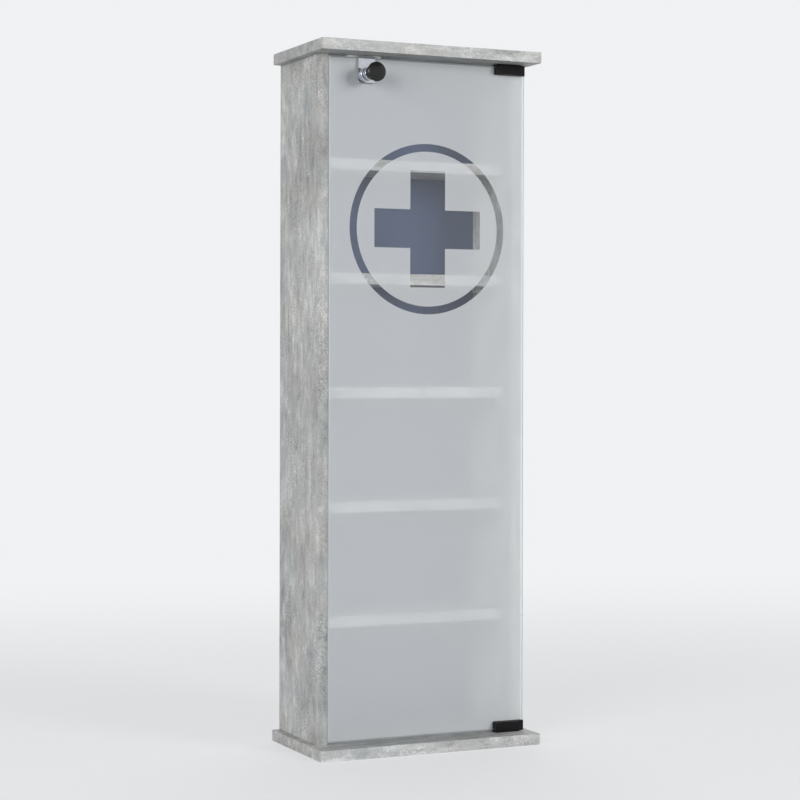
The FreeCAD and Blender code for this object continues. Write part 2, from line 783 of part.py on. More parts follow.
def make_door_glass():
    """Door pane with ground edges."""
    body = new_body()
    sketch = sketch_on(body, "XY_Plane")
    rectangle(sketch, "0", "0", "glass_width", "glass_thickness")
    pane = pad(body, sketch, "glass_height")
    bevel_edges(body, pane, "glass_arris", lambda edge: True)
    keep(put(body, "glass_left", "door_setback", "glass_low"), "door_glass")


def make_frost_film():
    """Frosted layer bonded to the back of the pane, left open at the clips, the ring and the cross."""
    sheet_of_film = block(
        "glass_left + film_margin",
        "film_front",
        "glass_low + film_margin",
        "glass_width - 2 * film_margin",
        "film_thickness",
        "glass_height - 2 * film_margin",
    )

    def opening(right, height, width, tall):
        return block(right, "film_front", height, width, "film_thickness", tall)

    clip_edge = "clip_left - film_clip_gap"
    clip_room = "clip_length + film_clip_gap"
    clip_rise = "clip_height + film_clip_gap"
    arm_left = "sign_right - sign_arm_width / 2"
    arm_low = "sign_height - sign_arm_width / 2"
    cross_left = "sign_right - sign_cross_length / 2"
    cross_low = "sign_height - sign_cross_length / 2"
    openings = [
        opening(clip_edge, "clip_low", clip_room, clip_rise),
        opening(clip_edge, f"clip_high - ({clip_rise})", clip_room, clip_rise),
        opening(
            "knob_clip_left - film_clip_gap",
            "knob_clip_low - film_clip_gap",
            "knob_clip_width + 2 * film_clip_gap",
            "knob_clip_height + film_clip_gap",
        ),
        opening(arm_left, cross_low, "sign_arm_width", "sign_cross_length"),
        opening(cross_left, arm_low, "sign_cross_length", "sign_arm_width"),
    ]
    place = ("sign_right", "film_front", "sign_height")
    ring_outside = rod(*place, "sign_radius", "film_thickness", BACKWARD)
    ring_inside = rod(*place, "sign_radius - sign_ring_width", "film_thickness", BACKWARD)
    film = sheet_of_film
    for tool in (*openings, cut(ring_outside, ring_inside)):
        film = cut(film, tool)
    keep(film, "frost_film")


def make_hinge_clip(label, height, web_up):
    """Clip over a corner of the pane: a front pad, a slot, a boss for set screws and a pin hole."""
    body = new_body()
    sketch = sketch_on(body, "XY_Plane")
    rectangle(sketch, "0", "0", "clip_length", "clip_depth")
    shell = pad(body, sketch, "clip_height")
    outer_end = value("clip_length")
    small = value("clip_plate") / 2

    def is_outer_upright(edge):
        box = edge.BoundBox
        return box.ZLength > box.XLength + box.YLength and abs(box.Center.x - outer_end) < small

    round_edges(body, shell, "clip_corner_round", is_outer_upright)

    sketch = sketch_on(body, "XZ_Plane")
    rectangle(sketch, "0", "0", "clip_pad_length", "clip_height")
    front = pad(body, sketch, "clip_pad_thickness")
    face = -value("clip_pad_thickness")
    round_edges(body, front, "clip_pad_round", lambda edge: abs(edge.BoundBox.Center.y - face) < small)

    sketch = sketch_on(body, "XZ_Plane", "-clip_depth")
    rectangle(sketch, "boss_inset", "0", "boss_length", "clip_height")
    pad(body, sketch, "boss_thickness", True)

    sketch = sketch_on(body, "XY_Plane", "0" if web_up else "clip_height")
    rectangle(sketch, "0", "clip_plate", "clip_slot_length", "clip_slot")
    pocket(body, sketch, "clip_inner_height", web_up)

    sketch = sketch_on(body, "XZ_Plane", "-(clip_depth + boss_thickness)")
    screws = [("boss_inset + set_screw_inset", "clip_height / 2")]
    screws.append(("boss_inset + boss_length - set_screw_inset", "clip_height / 2"))
    circles(sketch, screws, "set_screw_radius + pin_fit")
    pocket(body, sketch, "set_screw_length", True)

    sketch = sketch_on(body, "XY_Plane", "clip_height" if web_up else "0")
    circles(sketch, [("clip_length - pin_inset", "clip_depth / 2")], "hinge_pin_radius + pin_fit")
    pocket(body, sketch, "clip_web", not web_up)
    keep(put(body, "clip_left", "clip_front", height), label)


def make_liner(label, right, height, length, tall, web_up):
    """Soft liner, folded round the edge of the glass inside a clip."""
    outside = block(right, "door_setback - liner_thickness", height, length, "clip_slot", tall)
    slot_low = height if web_up else f"{height} + liner_thickness"
    inside = block(right, "door_setback", slot_low, length, "glass_thickness", f"{tall} - liner_thickness")
    keep(cut(outside, inside), label)


def make_hinge_pin(label, height, turn):
    """Steel pin, riveted in the clip's web, that turns in the bush."""
    body = new_body()
    chamfer = "hinge_pin_radius / 4"
    section = [
        ("0", "0"),
        ("hinge_pin_radius", "0"),
        ("hinge_pin_radius", f"hinge_pin_length - {chamfer}"),
        (f"hinge_pin_radius - {chamfer}", "hinge_pin_length"),
        ("0", "hinge_pin_length"),
    ]
    revolve(body, section)
    keep(put(body, "hinge_right", "hinge_back", height, turn), label)


def make_set_screws():
    """Set screws with hexagon sockets that clamp the hinge clips on the pane."""
    screws = []
    for height in ("clip_low + clip_height / 2", "clip_high - clip_height / 2"):
        for inset in ("boss_inset + set_screw_inset", "boss_inset + boss_length - set_screw_inset"):
            right = f"clip_left + {inset}"
            shank = rod(right, "clip_boss_back", height, "set_screw_radius", "set_screw_length", FORWARD)
            socket = doc.addObject("Part::Prism", "Socket")
            socket.Polygon = SOCKET_SIDE_COUNT
            bind(socket, Circumradius="set_screw_socket", Height="set_screw_socket_depth")
            put(socket, right, "clip_boss_back", height, FORWARD)
            screws.append(cut(shank, socket))
    group("hinge_set_screws", screws)


def make_knob_clip():
    """Bright steel clip over the top edge of the pane, with rounded lower corners."""
    body = new_body()
    sketch = sketch_on(body, "XY_Plane")
    rectangle(sketch, "0", "0", "knob_clip_width", "knob_clip_depth")
    shell = pad(body, sketch, "knob_clip_height")
    top = value("knob_clip_height")
    small = value("knob_clip_plate") / 2

    def is_bend(edge):
        box = edge.BoundBox
        return box.XLength > box.YLength + box.ZLength and abs(box.Center.z - top) < small

    def is_lower_corner(edge):
        box = edge.BoundBox
        return box.YLength > box.XLength + box.ZLength and abs(box.Center.z) < small

    bent = round_edges(body, shell, "knob_clip_bend", is_bend)
    round_edges(body, bent, "knob_clip_round", is_lower_corner)

    sketch = sketch_on(body, "XY_Plane")
    rectangle(sketch, "0", "knob_clip_plate", "knob_clip_width", "clip_slot")
    pocket(body, sketch, "knob_clip_height - knob_clip_plate", True)
    sketch = sketch_on(body, "XZ_Plane")
    circles(sketch, [("knob_clip_width / 2", "knob_clip_height - knob_drop")], "knob_rivet_radius + pin_fit")
    pocket(body, sketch, "knob_clip_plate")
    keep(put(body, "knob_clip_left", "knob_clip_front", "knob_clip_low"), "knob_clip")


def make_knob():
    """Rivet, stepped collar and flared cap, in a row in front of the clip."""
    rivet = rod(
        "knob_right",
        "knob_clip_front + knob_clip_plate",
        "knob_height",
        "knob_rivet_radius",
        "knob_clip_plate + knob_rivet_reach",
        FORWARD,
    )
    keep(rivet, "knob_rivet")

    bore = "knob_rivet_radius + pin_fit"
    bore_end = "knob_rivet_reach + hole_end_play"
    spigot_end = "knob_collar_length + knob_spigot_length"
    collar = new_body()
    section = [
        (bore, "0"),
        ("knob_base_radius", "0"),
        ("knob_base_radius", "knob_base_length"),
        ("knob_groove_radius", "knob_base_length"),
        ("knob_groove_radius", "knob_ring_start"),
        ("knob_ring_radius", "knob_ring_start"),
        ("knob_ring_radius", "knob_ring_end"),
        ("knob_groove_radius", "knob_ring_end"),
        ("knob_groove_radius", "knob_lip_start"),
        ("knob_lip_radius", "knob_lip_start"),
        ("knob_lip_radius", "knob_collar_length"),
        ("knob_spigot_radius", "knob_collar_length"),
        ("knob_spigot_radius", spigot_end),
        ("0", spigot_end),
        ("0", bore_end),
        (bore, bore_end),
    ]
    turned = revolve(collar, section)
    groove = value("knob_groove_radius")
    small = value("knob_edge_round")

    def is_corner(edge):
        return isinstance(edge.Curve, Part.Circle) and edge.Curve.Radius > groove + small

    round_edges(collar, turned, "knob_edge_round", is_corner)
    keep(put(collar, "knob_right", "knob_clip_front", "knob_height", FORWARD), "knob_collar")

    cap = new_body()
    socket = "knob_spigot_radius + pin_fit"
    socket_end = "knob_spigot_length + hole_end_play"
    section = [
        (socket, "0"),
        ("knob_cap_neck_radius", "0"),
        ("knob_cap_neck_radius", "knob_cap_neck_length"),
        ("knob_cap_waist_radius", "knob_cap_neck_length"),
        ("knob_cap_radius", "knob_cap_flare_end"),
        ("knob_cap_radius", "knob_cap_rim_end"),
        ("0", "knob_cap_length"),
        ("0", socket_end),
        (socket, socket_end),
    ]
    turned = revolve(cap, section, {3: "-knob_cap_flare_curve", 5: "knob_cap_dome_curve"})
    rim = value("knob_cap_radius")

    def is_rim(edge):
        return isinstance(edge.Curve, Part.Circle) and abs(edge.Curve.Radius - rim) < small

    round_edges(cap, turned, "knob_cap_rim_round", is_rim)
    cap_back = "knob_clip_front - knob_collar_length"
    keep(put(cap, "knob_right", cap_back, "knob_height", FORWARD), "knob_cap")


def make_catch():
    """Magnet catch under the top board, which holds the back of the knob clip."""
    left = "knob_right - catch_width / 2"
    flange = block(
        "knob_right - catch_flange_width / 2",
        "catch_front",
        "inner_top - catch_flange_thickness",
        "catch_flange_width",
        "catch_depth",
        "catch_flange_thickness",
    )
    case = block(left, "catch_front", "catch_low", "catch_width", "catch_depth", "catch_height")
    pole_left = "knob_right - pole_width / 2"
    cavity = block(
        pole_left, "catch_front", "pole_gap_low", "pole_width", "catch_cavity_depth", "catch_cavity_height"
    )
    screw_rights = [f"knob_right {sign} catch_screw_place" for sign in "-+"]
    screw_low = "inner_top - catch_flange_thickness"
    holes = [
        rod(right, "catch_screw_back", screw_low, "catch_screw_radius + pin_fit", "catch_flange_thickness")
        for right in screw_rights
    ]
    keep(cut(join([flange, case]), join([cavity, *holes])), "catch_housing")

    magnet = block(
        pole_left,
        "catch_front + magnet_setback",
        "pole_gap_low + pole_thickness",
        "pole_width",
        "catch_cavity_depth - magnet_setback",
        "magnet_thickness",
    )
    keep(magnet, "catch_magnet")

    pole_heights = ("pole_gap_low", "pole_gap_low + pole_thickness + magnet_thickness")
    poles = [
        block(pole_left, "pole_front", height, "pole_width", "pole_depth", "pole_thickness")
        for height in pole_heights
    ]
    group("catch_pole_plates", poles)

    screw_cross = ("screw_cross_width", "screw_cross_length", "screw_cross_depth")
    screws = []
    for right in screw_rights:
        head_low = f"{screw_low} - catch_screw_head_length"
        head = rod(right, "catch_screw_back", head_low, "catch_screw_head_radius", "catch_screw_head_length")
        shank = rod(right, "catch_screw_back", screw_low, "catch_screw_radius", "catch_screw_length")
        recess = cross_recess((right, "catch_screw_back", head_low), 2, *screw_cross)
        screws.append(cut(join([head, shank]), recess))
    group("catch_screws", screws)


def build():
    """Make every piece of the cabinet and of its door."""
    fill_sheet()
    make_board("bottom_board", "0", False)
    make_board("top_board", "inner_top", True)
    make_side("left_side", "side_overhang", False)
    make_side("right_side", "inner_right", True)
    make_back_panel()
    make_hanging_rail()
    make_shelves()
    make_shelf_supports()
    make_dowels()
    make_cams()
    for name, sign in (("left", "-"), ("right", "+")):
        make_keyhole_plate(f"{name}_keyhole_plate", f"overall_width / 2 {sign} hanger_spacing / 2")
    make_plate_screws()
    make_bush("bottom_pivot_bush", "board_thickness - bush_depth", "bush_flange_low", UP)
    make_bush("top_pivot_bush", "inner_top + bush_depth", "bush_flange_high", DOWN)
    make_catch()
    make_door_glass()
    make_frost_film()
    make_hinge_clip("bottom_hinge_clip", "clip_low", False)
    make_hinge_clip("top_hinge_clip", "clip_high - clip_height", True)
    liner_size = ("clip_length - clip_end_reach", "clip_inner_height")
    make_liner("bottom_hinge_liner", "clip_left", "clip_low + clip_web", *liner_size, False)
    make_liner("top_hinge_liner", "clip_left", "clip_high - clip_height", *liner_size, True)
    make_hinge_pin("bottom_hinge_pin", "clip_low + clip_web", DOWN)
    make_hinge_pin("top_hinge_pin", "clip_high - clip_web", UP)
    make_set_screws()
    make_knob_clip()
    liner_size = ("knob_clip_width", "knob_clip_height - knob_clip_plate")
    make_liner("knob_clip_liner", "knob_clip_left", "knob_clip_low", *liner_size, True)
    make_knob()


def write_parts():
    """Check every object, then write each piece to a file of its own."""
    doc.recompute()
    for thing in doc.Objects:
        if "Invalid" in thing.State or "Error" in thing.State:
            raise RuntimeError(f"{thing.Label} failed: {thing.State}")
    for piece in pieces:
        if piece.Shape.isNull() or not piece.Shape.isValid() or not piece.Shape.Solids:
            raise RuntimeError(f"{piece.Label} has no valid solid")
    os.makedirs("parts", exist_ok=True)
    for piece in pieces:
        piece.Shape.exportStep(os.path.join("parts", piece.Label + ".step"))
        print(piece.Label, len(piece.Shape.Solids), round(piece.Shape.Volume, 1))


build()
write_parts()
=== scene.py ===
import math

import bmesh
import bpy
from mathutils import Matrix, Vector


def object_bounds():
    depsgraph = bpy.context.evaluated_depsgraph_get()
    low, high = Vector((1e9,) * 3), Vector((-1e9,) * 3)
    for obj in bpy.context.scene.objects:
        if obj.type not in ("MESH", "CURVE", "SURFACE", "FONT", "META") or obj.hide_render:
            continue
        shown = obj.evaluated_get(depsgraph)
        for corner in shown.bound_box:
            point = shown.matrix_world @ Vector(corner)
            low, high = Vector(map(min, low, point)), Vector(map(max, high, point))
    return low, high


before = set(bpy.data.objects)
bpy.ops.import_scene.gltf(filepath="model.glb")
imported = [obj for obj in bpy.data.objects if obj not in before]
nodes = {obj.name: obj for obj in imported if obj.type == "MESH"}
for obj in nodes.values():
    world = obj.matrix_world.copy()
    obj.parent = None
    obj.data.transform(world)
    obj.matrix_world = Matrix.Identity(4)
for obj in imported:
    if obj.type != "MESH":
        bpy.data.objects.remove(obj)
cad_low, cad_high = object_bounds()


class NodeTree:
    """A node tree that is filled by short calls. A value is a number, a colour, a vector or a socket."""

    def __init__(self, tree):
        self.tree = tree
        tree.nodes.clear()

    def add(self, kind, values=None, **settings):
        """Add a node, set its properties and feed its inputs, which go by name or by number."""
        node = self.tree.nodes.new(kind)
        for name, setting in settings.items():
            setattr(node, name, setting)
        for key, value in (values or {}).items():
            self.feed(node.inputs[key], value)
        return node

    def feed(self, socket, value):
        """Link a socket to an input, or set the input to a plain value."""
        if isinstance(value, bpy.types.NodeSocket):
            self.tree.links.new(value, socket)
        elif isinstance(value, tuple) and socket.type == "RGBA":
            socket.default_value = (*value, 1.0)
        else:
            socket.default_value = value

    def math(self, operation, first, second):
        """Combine two numbers."""
        return self.add("ShaderNodeMath", {0: first, 1: second}, operation=operation).outputs[0]

    def weigh(self, *pairs):
        """The sum of numbers, each times its weight."""
        total = None
        for number, weight in pairs:
            part = self.math("MULTIPLY", number, weight)
            total = part if total is None else self.math("ADD", total, part)
        return total

    def vector_math(self, operation, first, second):
        """Combine two vectors."""
        return self.add("ShaderNodeVectorMath", {0: first, 1: second}, operation=operation).outputs[0]

    def part_of(self, vector, axis):
        """One number of a vector."""
        return self.add("ShaderNodeSeparateXYZ", {0: vector}).outputs[axis]

    def span(self, number, low, high, new_low=0.0, new_high=1.0):
        """Ease a number from one range to another, and hold it at the ends."""
        values = {0: number, 1: low, 2: high, 3: new_low, 4: new_high}
        return self.add("ShaderNodeMapRange", values, interpolation_type="SMOOTHSTEP").outputs[0]

    def mix(self, share, first, second, blend="MIX"):
        """Blend two colours."""
        values = {"Factor": share, 6: first, 7: second}
        return self.add("ShaderNodeMix", data_type="RGBA", blend_type=blend, values=values).outputs[2]

    def mix_shaders(self, share, first, second):
        """Blend two shaders."""
        return self.add("ShaderNodeMixShader", {0: share, 1: first, 2: second}).outputs[0]

    def seen(self):
        """1 where the camera, a mirror or glass looks, and 0 for light that bounces."""
        path = self.add("ShaderNodeLightPath")
        share = path.outputs["Is Camera Ray"]
        for name in ("Is Glossy Ray", "Is Transmission Ray"):
            share = self.math("MAXIMUM", share, path.outputs[name])
        return share


class Paint(NodeTree):
    """A material. Its patterns lie on the place on the piece, in metres."""

    def __init__(self, name):
        self.material = bpy.data.materials.new(name)
        self.material.use_nodes = True
        super().__init__(self.material.node_tree)
        coordinates = self.add("ShaderNodeTexCoord")
        self.place = coordinates.outputs["Object"]
        self.normal = coordinates.outputs["Normal"]

    def stretch(self, factors):
        """The place on the piece, stretched by a factor along each axis."""
        return self.vector_math("MULTIPLY", self.place, factors)

    def facing(self, axis):
        """How far a face of the piece points along an axis, from -1 to 1."""
        return self.part_of(self.normal, axis)

    def noise(self, place, scale, detail=2.0, roughness=0.5, distortion=0.0, output="Fac"):
        """Soft noise from 0 to 1."""
        values = {
            "Vector": place,
            "Scale": scale,
            "Detail": detail,
            "Roughness": roughness,
            "Distortion": distortion,
        }
        return self.add("ShaderNodeTexNoise", values).outputs[output]

    def cells(self, place, scale, feature="F1"):
        """Scattered cells, with a random colour in each and the distance to its middle or its edge."""
        values = {"Vector": place, "Scale": scale}
        return self.add("ShaderNodeTexVoronoi", values, feature=feature).outputs

    def bump(self, height, strength, depth):
        """A normal that follows a height from 0 to 1 over a depth in metres."""
        values = {"Height": height, "Strength": strength, "Distance": depth}
        return self.add("ShaderNodeBump", values).outputs["Normal"]

    def principled(self, **values):
        """A Principled shader. Names are those of its inputs, with underscores for spaces."""
        named = {name.replace("_", " "): value for name, value in values.items()}
        return self.add("ShaderNodeBsdfPrincipled", named).outputs[0]

    def finish(self, shader):
        """Make a shader the surface and return the material."""
        output = self.add("ShaderNodeOutputMaterial", {"Surface": shader})
        output.is_active_output = True
        return self.material


CONCRETE_DARK = (0.235, 0.238, 0.238)
CONCRETE_MID = (0.435, 0.438, 0.432)
CONCRETE_PALE = (0.68, 0.68, 0.665)
CONCRETE_COOL_TINT = (0.98, 1.0, 1.01)
CONCRETE_WARM_TINT = (1.015, 1.0, 0.985)
CRACK_BEND = (0.06, 0.06, 0.06)
CRACK_STRENGTH = 0.5
SPECK_STRENGTH = 0.8
CHIP_DARK = (0.25, 0.16, 0.09)
CHIP_PALE = (0.55, 0.41, 0.26)
CHIP_STRETCH = (1, 1, 2)
CHIP_EXTRA_ROUGHNESS = 0.25
ALONG_WIDTH = (0.5, 1, 1)
ALONG_HEIGHT = (1, 1, 0.5)
LEVEL_START = (2.96, -4.24, 5.68)
UPRIGHT_START = (2.22, -3.18, 4.26)
UPRIGHT_FRONT_TONE = 0.84


def concrete_decor(name, along, start, raw_rear=True, front_tone=1.0):
    """Printed concrete look: clouds, mottling, stippled patches, faint streaks, pale cracks and specks.

    along stretches the pattern, so that it runs lengthwise, and start is where the sheet of decor begins.
    The rear edges may be bare chipboard, and the faces that point to the front may be darker.
    """
    paint = Paint(name)
    paint.place = paint.vector_math("ADD", paint.place, start)
    grain = paint.stretch(along)
    long_grain = paint.stretch(tuple(part ** 3 for part in along))
    drifts = paint.noise(paint.place, scale=6, detail=3)
    clouds = paint.noise(grain, scale=20, detail=5, roughness=0.6, distortion=0.8)
    mottles = paint.noise(grain, scale=80, detail=5, roughness=0.66, distortion=0.6)
    streaks = paint.noise(long_grain, scale=120, detail=4, roughness=0.6, distortion=0.3)
    grit = paint.noise(paint.place, scale=430, detail=3, roughness=0.75)
    patches = paint.noise(grain, scale=24, detail=3, roughness=0.55, distortion=0.6)

    tone = paint.weigh((clouds, 0.55), (mottles, 0.65), (streaks, 0.4), (drifts, 0.35))
    stippled = paint.span(patches, low=0.44, high=0.62, new_low=0.45, new_high=1.15)
    stipple = paint.math("MULTIPLY", paint.math("SUBTRACT", grit, 0.5), stippled)
    tone = paint.math("ADD", tone, stipple)
    colour = paint.mix(paint.span(tone, low=0.96, high=1.24), CONCRETE_MID, CONCRETE_PALE)
    colour = paint.mix(paint.span(tone, low=1.0, high=0.68), colour, CONCRETE_DARK)

    wander = paint.noise(grain, scale=30, detail=3, output="Color")
    bent = paint.vector_math("ADD", grain, paint.vector_math("MULTIPLY", wander, CRACK_BEND))
    from_crack = paint.cells(bent, scale=11, feature="DISTANCE_TO_EDGE")["Distance"]
    on_crack = paint.span(from_crack, low=0.014, high=0.004)
    cracks = paint.math("MULTIPLY", on_crack, paint.span(mottles, low=0.46, high=0.6))
    colour = paint.mix(paint.math("MULTIPLY", cracks, CRACK_STRENGTH), colour, CONCRETE_PALE)

    speck = paint.cells(paint.place, scale=95)
    chosen = paint.span(paint.part_of(speck["Color"], 0), low=0.9, high=0.93)
    specks = paint.math("MULTIPLY", chosen, paint.span(speck["Distance"], low=0.2, high=0.08))
    colour = paint.mix(paint.math("MULTIPLY", specks, SPECK_STRENGTH), colour, CONCRETE_PALE)

    warmth = paint.span(paint.noise(paint.place, scale=13), low=0.35, high=0.65)
    tint = paint.mix(warmth, CONCRETE_COOL_TINT, CONCRETE_WARM_TINT)
    colour = paint.mix(1.0, colour, tint, "MULTIPLY")
    # faces that point to the front are made darker by front_tone
    if front_tone < 1.0:
        is_front = paint.span(paint.facing("Y"), low=-0.8, high=-0.95)
        darker = paint.mix(1.0, colour, (front_tone,) * 3, "MULTIPLY")
        colour = paint.mix(is_front, colour, darker)

    height = paint.weigh((grit, 0.6), (mottles, 0.4))
    roughness = paint.span(tone, low=0.6, high=1.4, new_low=0.62, new_high=0.5)
    if raw_rear:
        chips = paint.part_of(paint.cells(paint.stretch(CHIP_STRETCH), scale=330)["Color"], 0)
        is_rear = paint.span(paint.facing("Y"), low=0.8, high=0.95)
        colour = paint.mix(is_rear, colour, paint.mix(chips, CHIP_DARK, CHIP_PALE))
        height = paint.math("ADD", height, paint.math("MULTIPLY", is_rear, chips))
        rougher = paint.math("MULTIPLY", is_rear, CHIP_EXTRA_ROUGHNESS)
        roughness = paint.math("ADD", roughness, rougher)
    shader = paint.principled(
        Base_Color=colour,
        Roughness=roughness,
        Normal=paint.bump(height, strength=0.3, depth=0.0002),
    )
    return paint.finish(shader)


def let_light_in(paint, shader, share):
    """Let lamps and bounced light pass straight through a pane, so that they reach what is behind it."""
    clear = paint.add("ShaderNodeBsdfTransparent", {"Color": share}).outputs[0]
    path = paint.add("ShaderNodeLightPath")
    bounced = paint.mix_shaders(path.outputs["Is Diffuse Ray"], shader, clear)
    return paint.mix_shaders(path.outputs["Is Shadow Ray"], bounced, clear)


GLASS_TINT = (0.985, 0.992, 0.99)
GLASS_EDGE_DARK = (0.36, 0.44, 0.42)
GLASS_EDGE_PALE = (0.5, 0.58, 0.56)
GLASS_LETS_IN = (0.97, 0.975, 0.975)


def clear_glass():
    """Float glass with matt ground edges of a green tinge."""
    paint = Paint("clear_glass")
    is_face = paint.span(paint.math("ABSOLUTE", paint.facing("Y"), 0.0), low=0.6, high=0.9)
    ripple = paint.noise(paint.place, scale=9)
    frosting = paint.noise(paint.place, scale=900)
    edge = paint.mix(frosting, GLASS_EDGE_DARK, GLASS_EDGE_PALE)
    shader = paint.principled(
        Base_Color=paint.mix(is_face, edge, GLASS_TINT),
        Roughness=paint.span(is_face, low=0, high=1, new_low=0.45, new_high=0.0),
        Normal=paint.bump(ripple, strength=0.02, depth=0.0005),
        Transmission_Weight=paint.span(is_face, low=0, high=1, new_low=0.1, new_high=1.0),
        IOR=1.5,
    )
    return paint.finish(let_light_in(paint, shader, GLASS_LETS_IN))


FROST_DARK = (0.745, 0.755, 0.77)
FROST_PALE = (0.795, 0.805, 0.82)
FROST_BLUR_TINT = (0.93, 0.94, 0.95)
FROST_GLOW_SHARE = 0.15
FROST_VEIL_SHARE = 0.42
FROST_LETS_IN = (0.94, 0.945, 0.95)


def frosted_layer():
    """Matt layer: part of the light scatters in it, and the rest shows what is behind, blurred."""
    paint = Paint("frosted_layer")
    grain = paint.noise(paint.place, scale=1500, roughness=0.6)
    white = paint.mix(grain, FROST_DARK, FROST_PALE)
    matt = paint.add("ShaderNodeBsdfDiffuse", {"Color": white}).outputs[0]
    glow = paint.add("ShaderNodeBsdfTranslucent", {"Color": white}).outputs[0]
    veil = paint.mix_shaders(FROST_GLOW_SHARE, matt, glow)
    blur_values = {"Color": FROST_BLUR_TINT, "Roughness": 0.3, "IOR": 1.4}
    blur = paint.add("ShaderNodeBsdfRefraction", blur_values).outputs[0]
    shader = paint.mix_shaders(FROST_VEIL_SHARE, blur, veil)
    return paint.finish(let_light_in(paint, shader, FROST_LETS_IN))


LACQUER_DARK = (0.066, 0.09, 0.165)
LACQUER_PALE = (0.1, 0.13, 0.215)
FIBRE_DARK = (0.13, 0.075, 0.04)
FIBRE_PALE = (0.36, 0.235, 0.14)
FIBRE_CLOUD = (0.3, 0.2, 0.12)
FIBRE_STRETCH = (1, 1, 0.3)


def back_board():
    """Thin fibreboard: slate lacquer in front, bare brown fibres behind."""
    paint = Paint("back_board")
    grain = paint.noise(paint.place, scale=260, detail=4, roughness=0.6)
    cloud = paint.noise(paint.place, scale=12, detail=3)
    lacquer = paint.mix(cloud, LACQUER_DARK, LACQUER_PALE)
    fibres = paint.noise(paint.stretch(FIBRE_STRETCH), scale=420, detail=4, roughness=0.75)
    raw = paint.mix(paint.span(fibres, low=0.3, high=0.7), FIBRE_DARK, FIBRE_PALE)
    clouded = paint.span(cloud, low=0.35, high=0.65, new_high=0.5)
    raw = paint.mix(clouded, raw, FIBRE_CLOUD)
    is_rear = paint.span(paint.facing("Y"), low=-0.2, high=0.2)
    shader = paint.principled(
        Base_Color=paint.mix(is_rear, lacquer, raw),
        Roughness=paint.span(is_rear, low=0, high=1, new_low=0.5, new_high=0.75),
        Normal=paint.bump(grain, strength=0.2, depth=0.0002),
    )
    return paint.finish(shader)


METAL_MARK_TONE = 0.86
METAL_MARK_ROUGHNESS = 1.8


def bright_metal(name, colour, roughness, scratch_scale, scratch_strength):
    """Plated metal with hairline scratches and faint smears."""
    paint = Paint(name)
    smear = paint.noise(paint.place, scale=130, detail=3)
    hairs = paint.noise(paint.stretch(scratch_scale), scale=1, roughness=0.6)
    marks = paint.weigh((smear, 0.6), (hairs, 0.4))
    darker = tuple(METAL_MARK_TONE * part for part in colour)
    rougher = roughness * METAL_MARK_ROUGHNESS
    shader = paint.principled(
        Base_Color=paint.mix(paint.span(marks, low=0.35, high=0.65), darker, colour),
        Metallic=1.0,
        Roughness=paint.span(marks, low=0.3, high=0.7, new_low=roughness, new_high=rougher),
        Normal=paint.bump(hairs, strength=scratch_strength, depth=0.00005),
    )
    return paint.finish(shader)


COAT_DARK = (0.004, 0.0037, 0.0039)
COAT_DUSTY = (0.008, 0.0076, 0.0076)


def powder_coat():
    """Black powder coat: a fine orange peel and a little dust."""
    paint = Paint("powder_coat")
    peel = paint.noise(paint.place, scale=1400)
    dust = paint.noise(paint.place, scale=90, detail=4, roughness=0.65)
    shader = paint.principled(
        Base_Color=paint.mix(paint.span(dust, low=0.45, high=0.75), COAT_DARK, COAT_DUSTY),
        Roughness=paint.span(dust, low=0.3, high=0.7, new_low=0.36, new_high=0.5),
        Normal=paint.bump(peel, strength=0.3, depth=0.00008),
        Specular_IOR_Level=0.2,
    )
    return paint.finish(shader)


GLOSS_BLACK = (0.008, 0.008, 0.0085)
GLOSS_MARKED = (0.014, 0.014, 0.014)


def black_gloss():
    """Polished black knob with faint finger marks."""
    paint = Paint("black_gloss")
    marks = paint.noise(paint.place, scale=160, detail=4, roughness=0.6, distortion=1.0)
    shader = paint.principled(
        Base_Color=paint.mix(paint.span(marks, low=0.45, high=0.7), GLOSS_BLACK, GLOSS_MARKED),
        Roughness=paint.span(marks, low=0.35, high=0.7, new_low=0.12, new_high=0.26),
        Specular_IOR_Level=0.32,
    )
    return paint.finish(shader)


PLASTIC_CLOUD_TONE = 0.88
PLASTIC_GLOSS_SPREAD = 0.06


def moulded_plastic(name, colour, roughness):
    """Moulded plastic or rubber with a fine spark-eroded grain and slight cloudiness."""
    paint = Paint(name)
    grain = paint.noise(paint.place, scale=1800, roughness=0.6)
    cloud = paint.noise(paint.place, scale=60, detail=3)
    darker = tuple(PLASTIC_CLOUD_TONE * part for part in colour)
    smooth = roughness - PLASTIC_GLOSS_SPREAD
    rough = roughness + PLASTIC_GLOSS_SPREAD
    shader = paint.principled(
        Base_Color=paint.mix(paint.span(cloud, low=0.3, high=0.7), darker, colour),
        Roughness=paint.span(grain, low=0.3, high=0.7, new_low=smooth, new_high=rough),
        Normal=paint.bump(grain, strength=0.15, depth=0.00006),
    )
    return paint.finish(shader)


BEECH_DARK = (0.42, 0.25, 0.12)
BEECH_PALE = (0.62, 0.43, 0.25)
BEECH_STRETCH = (1, 1, 0.12)


def beech():
    """Fluted beech dowel with fine straight grain."""
    paint = Paint("beech")
    grain = paint.noise(paint.stretch(BEECH_STRETCH), scale=900, detail=3, roughness=0.6)
    shader = paint.principled(
        Base_Color=paint.mix(grain, BEECH_DARK, BEECH_PALE),
        Roughness=0.6,
        Normal=paint.bump(grain, strength=0.2, depth=0.0001),
    )
    return paint.finish(shader)


def dress(material, *names):
    """Give CAD nodes a material in place of their plain one."""
    for name in names:
        slots = nodes[name].data.materials
        slots.clear()
        slots.append(material)


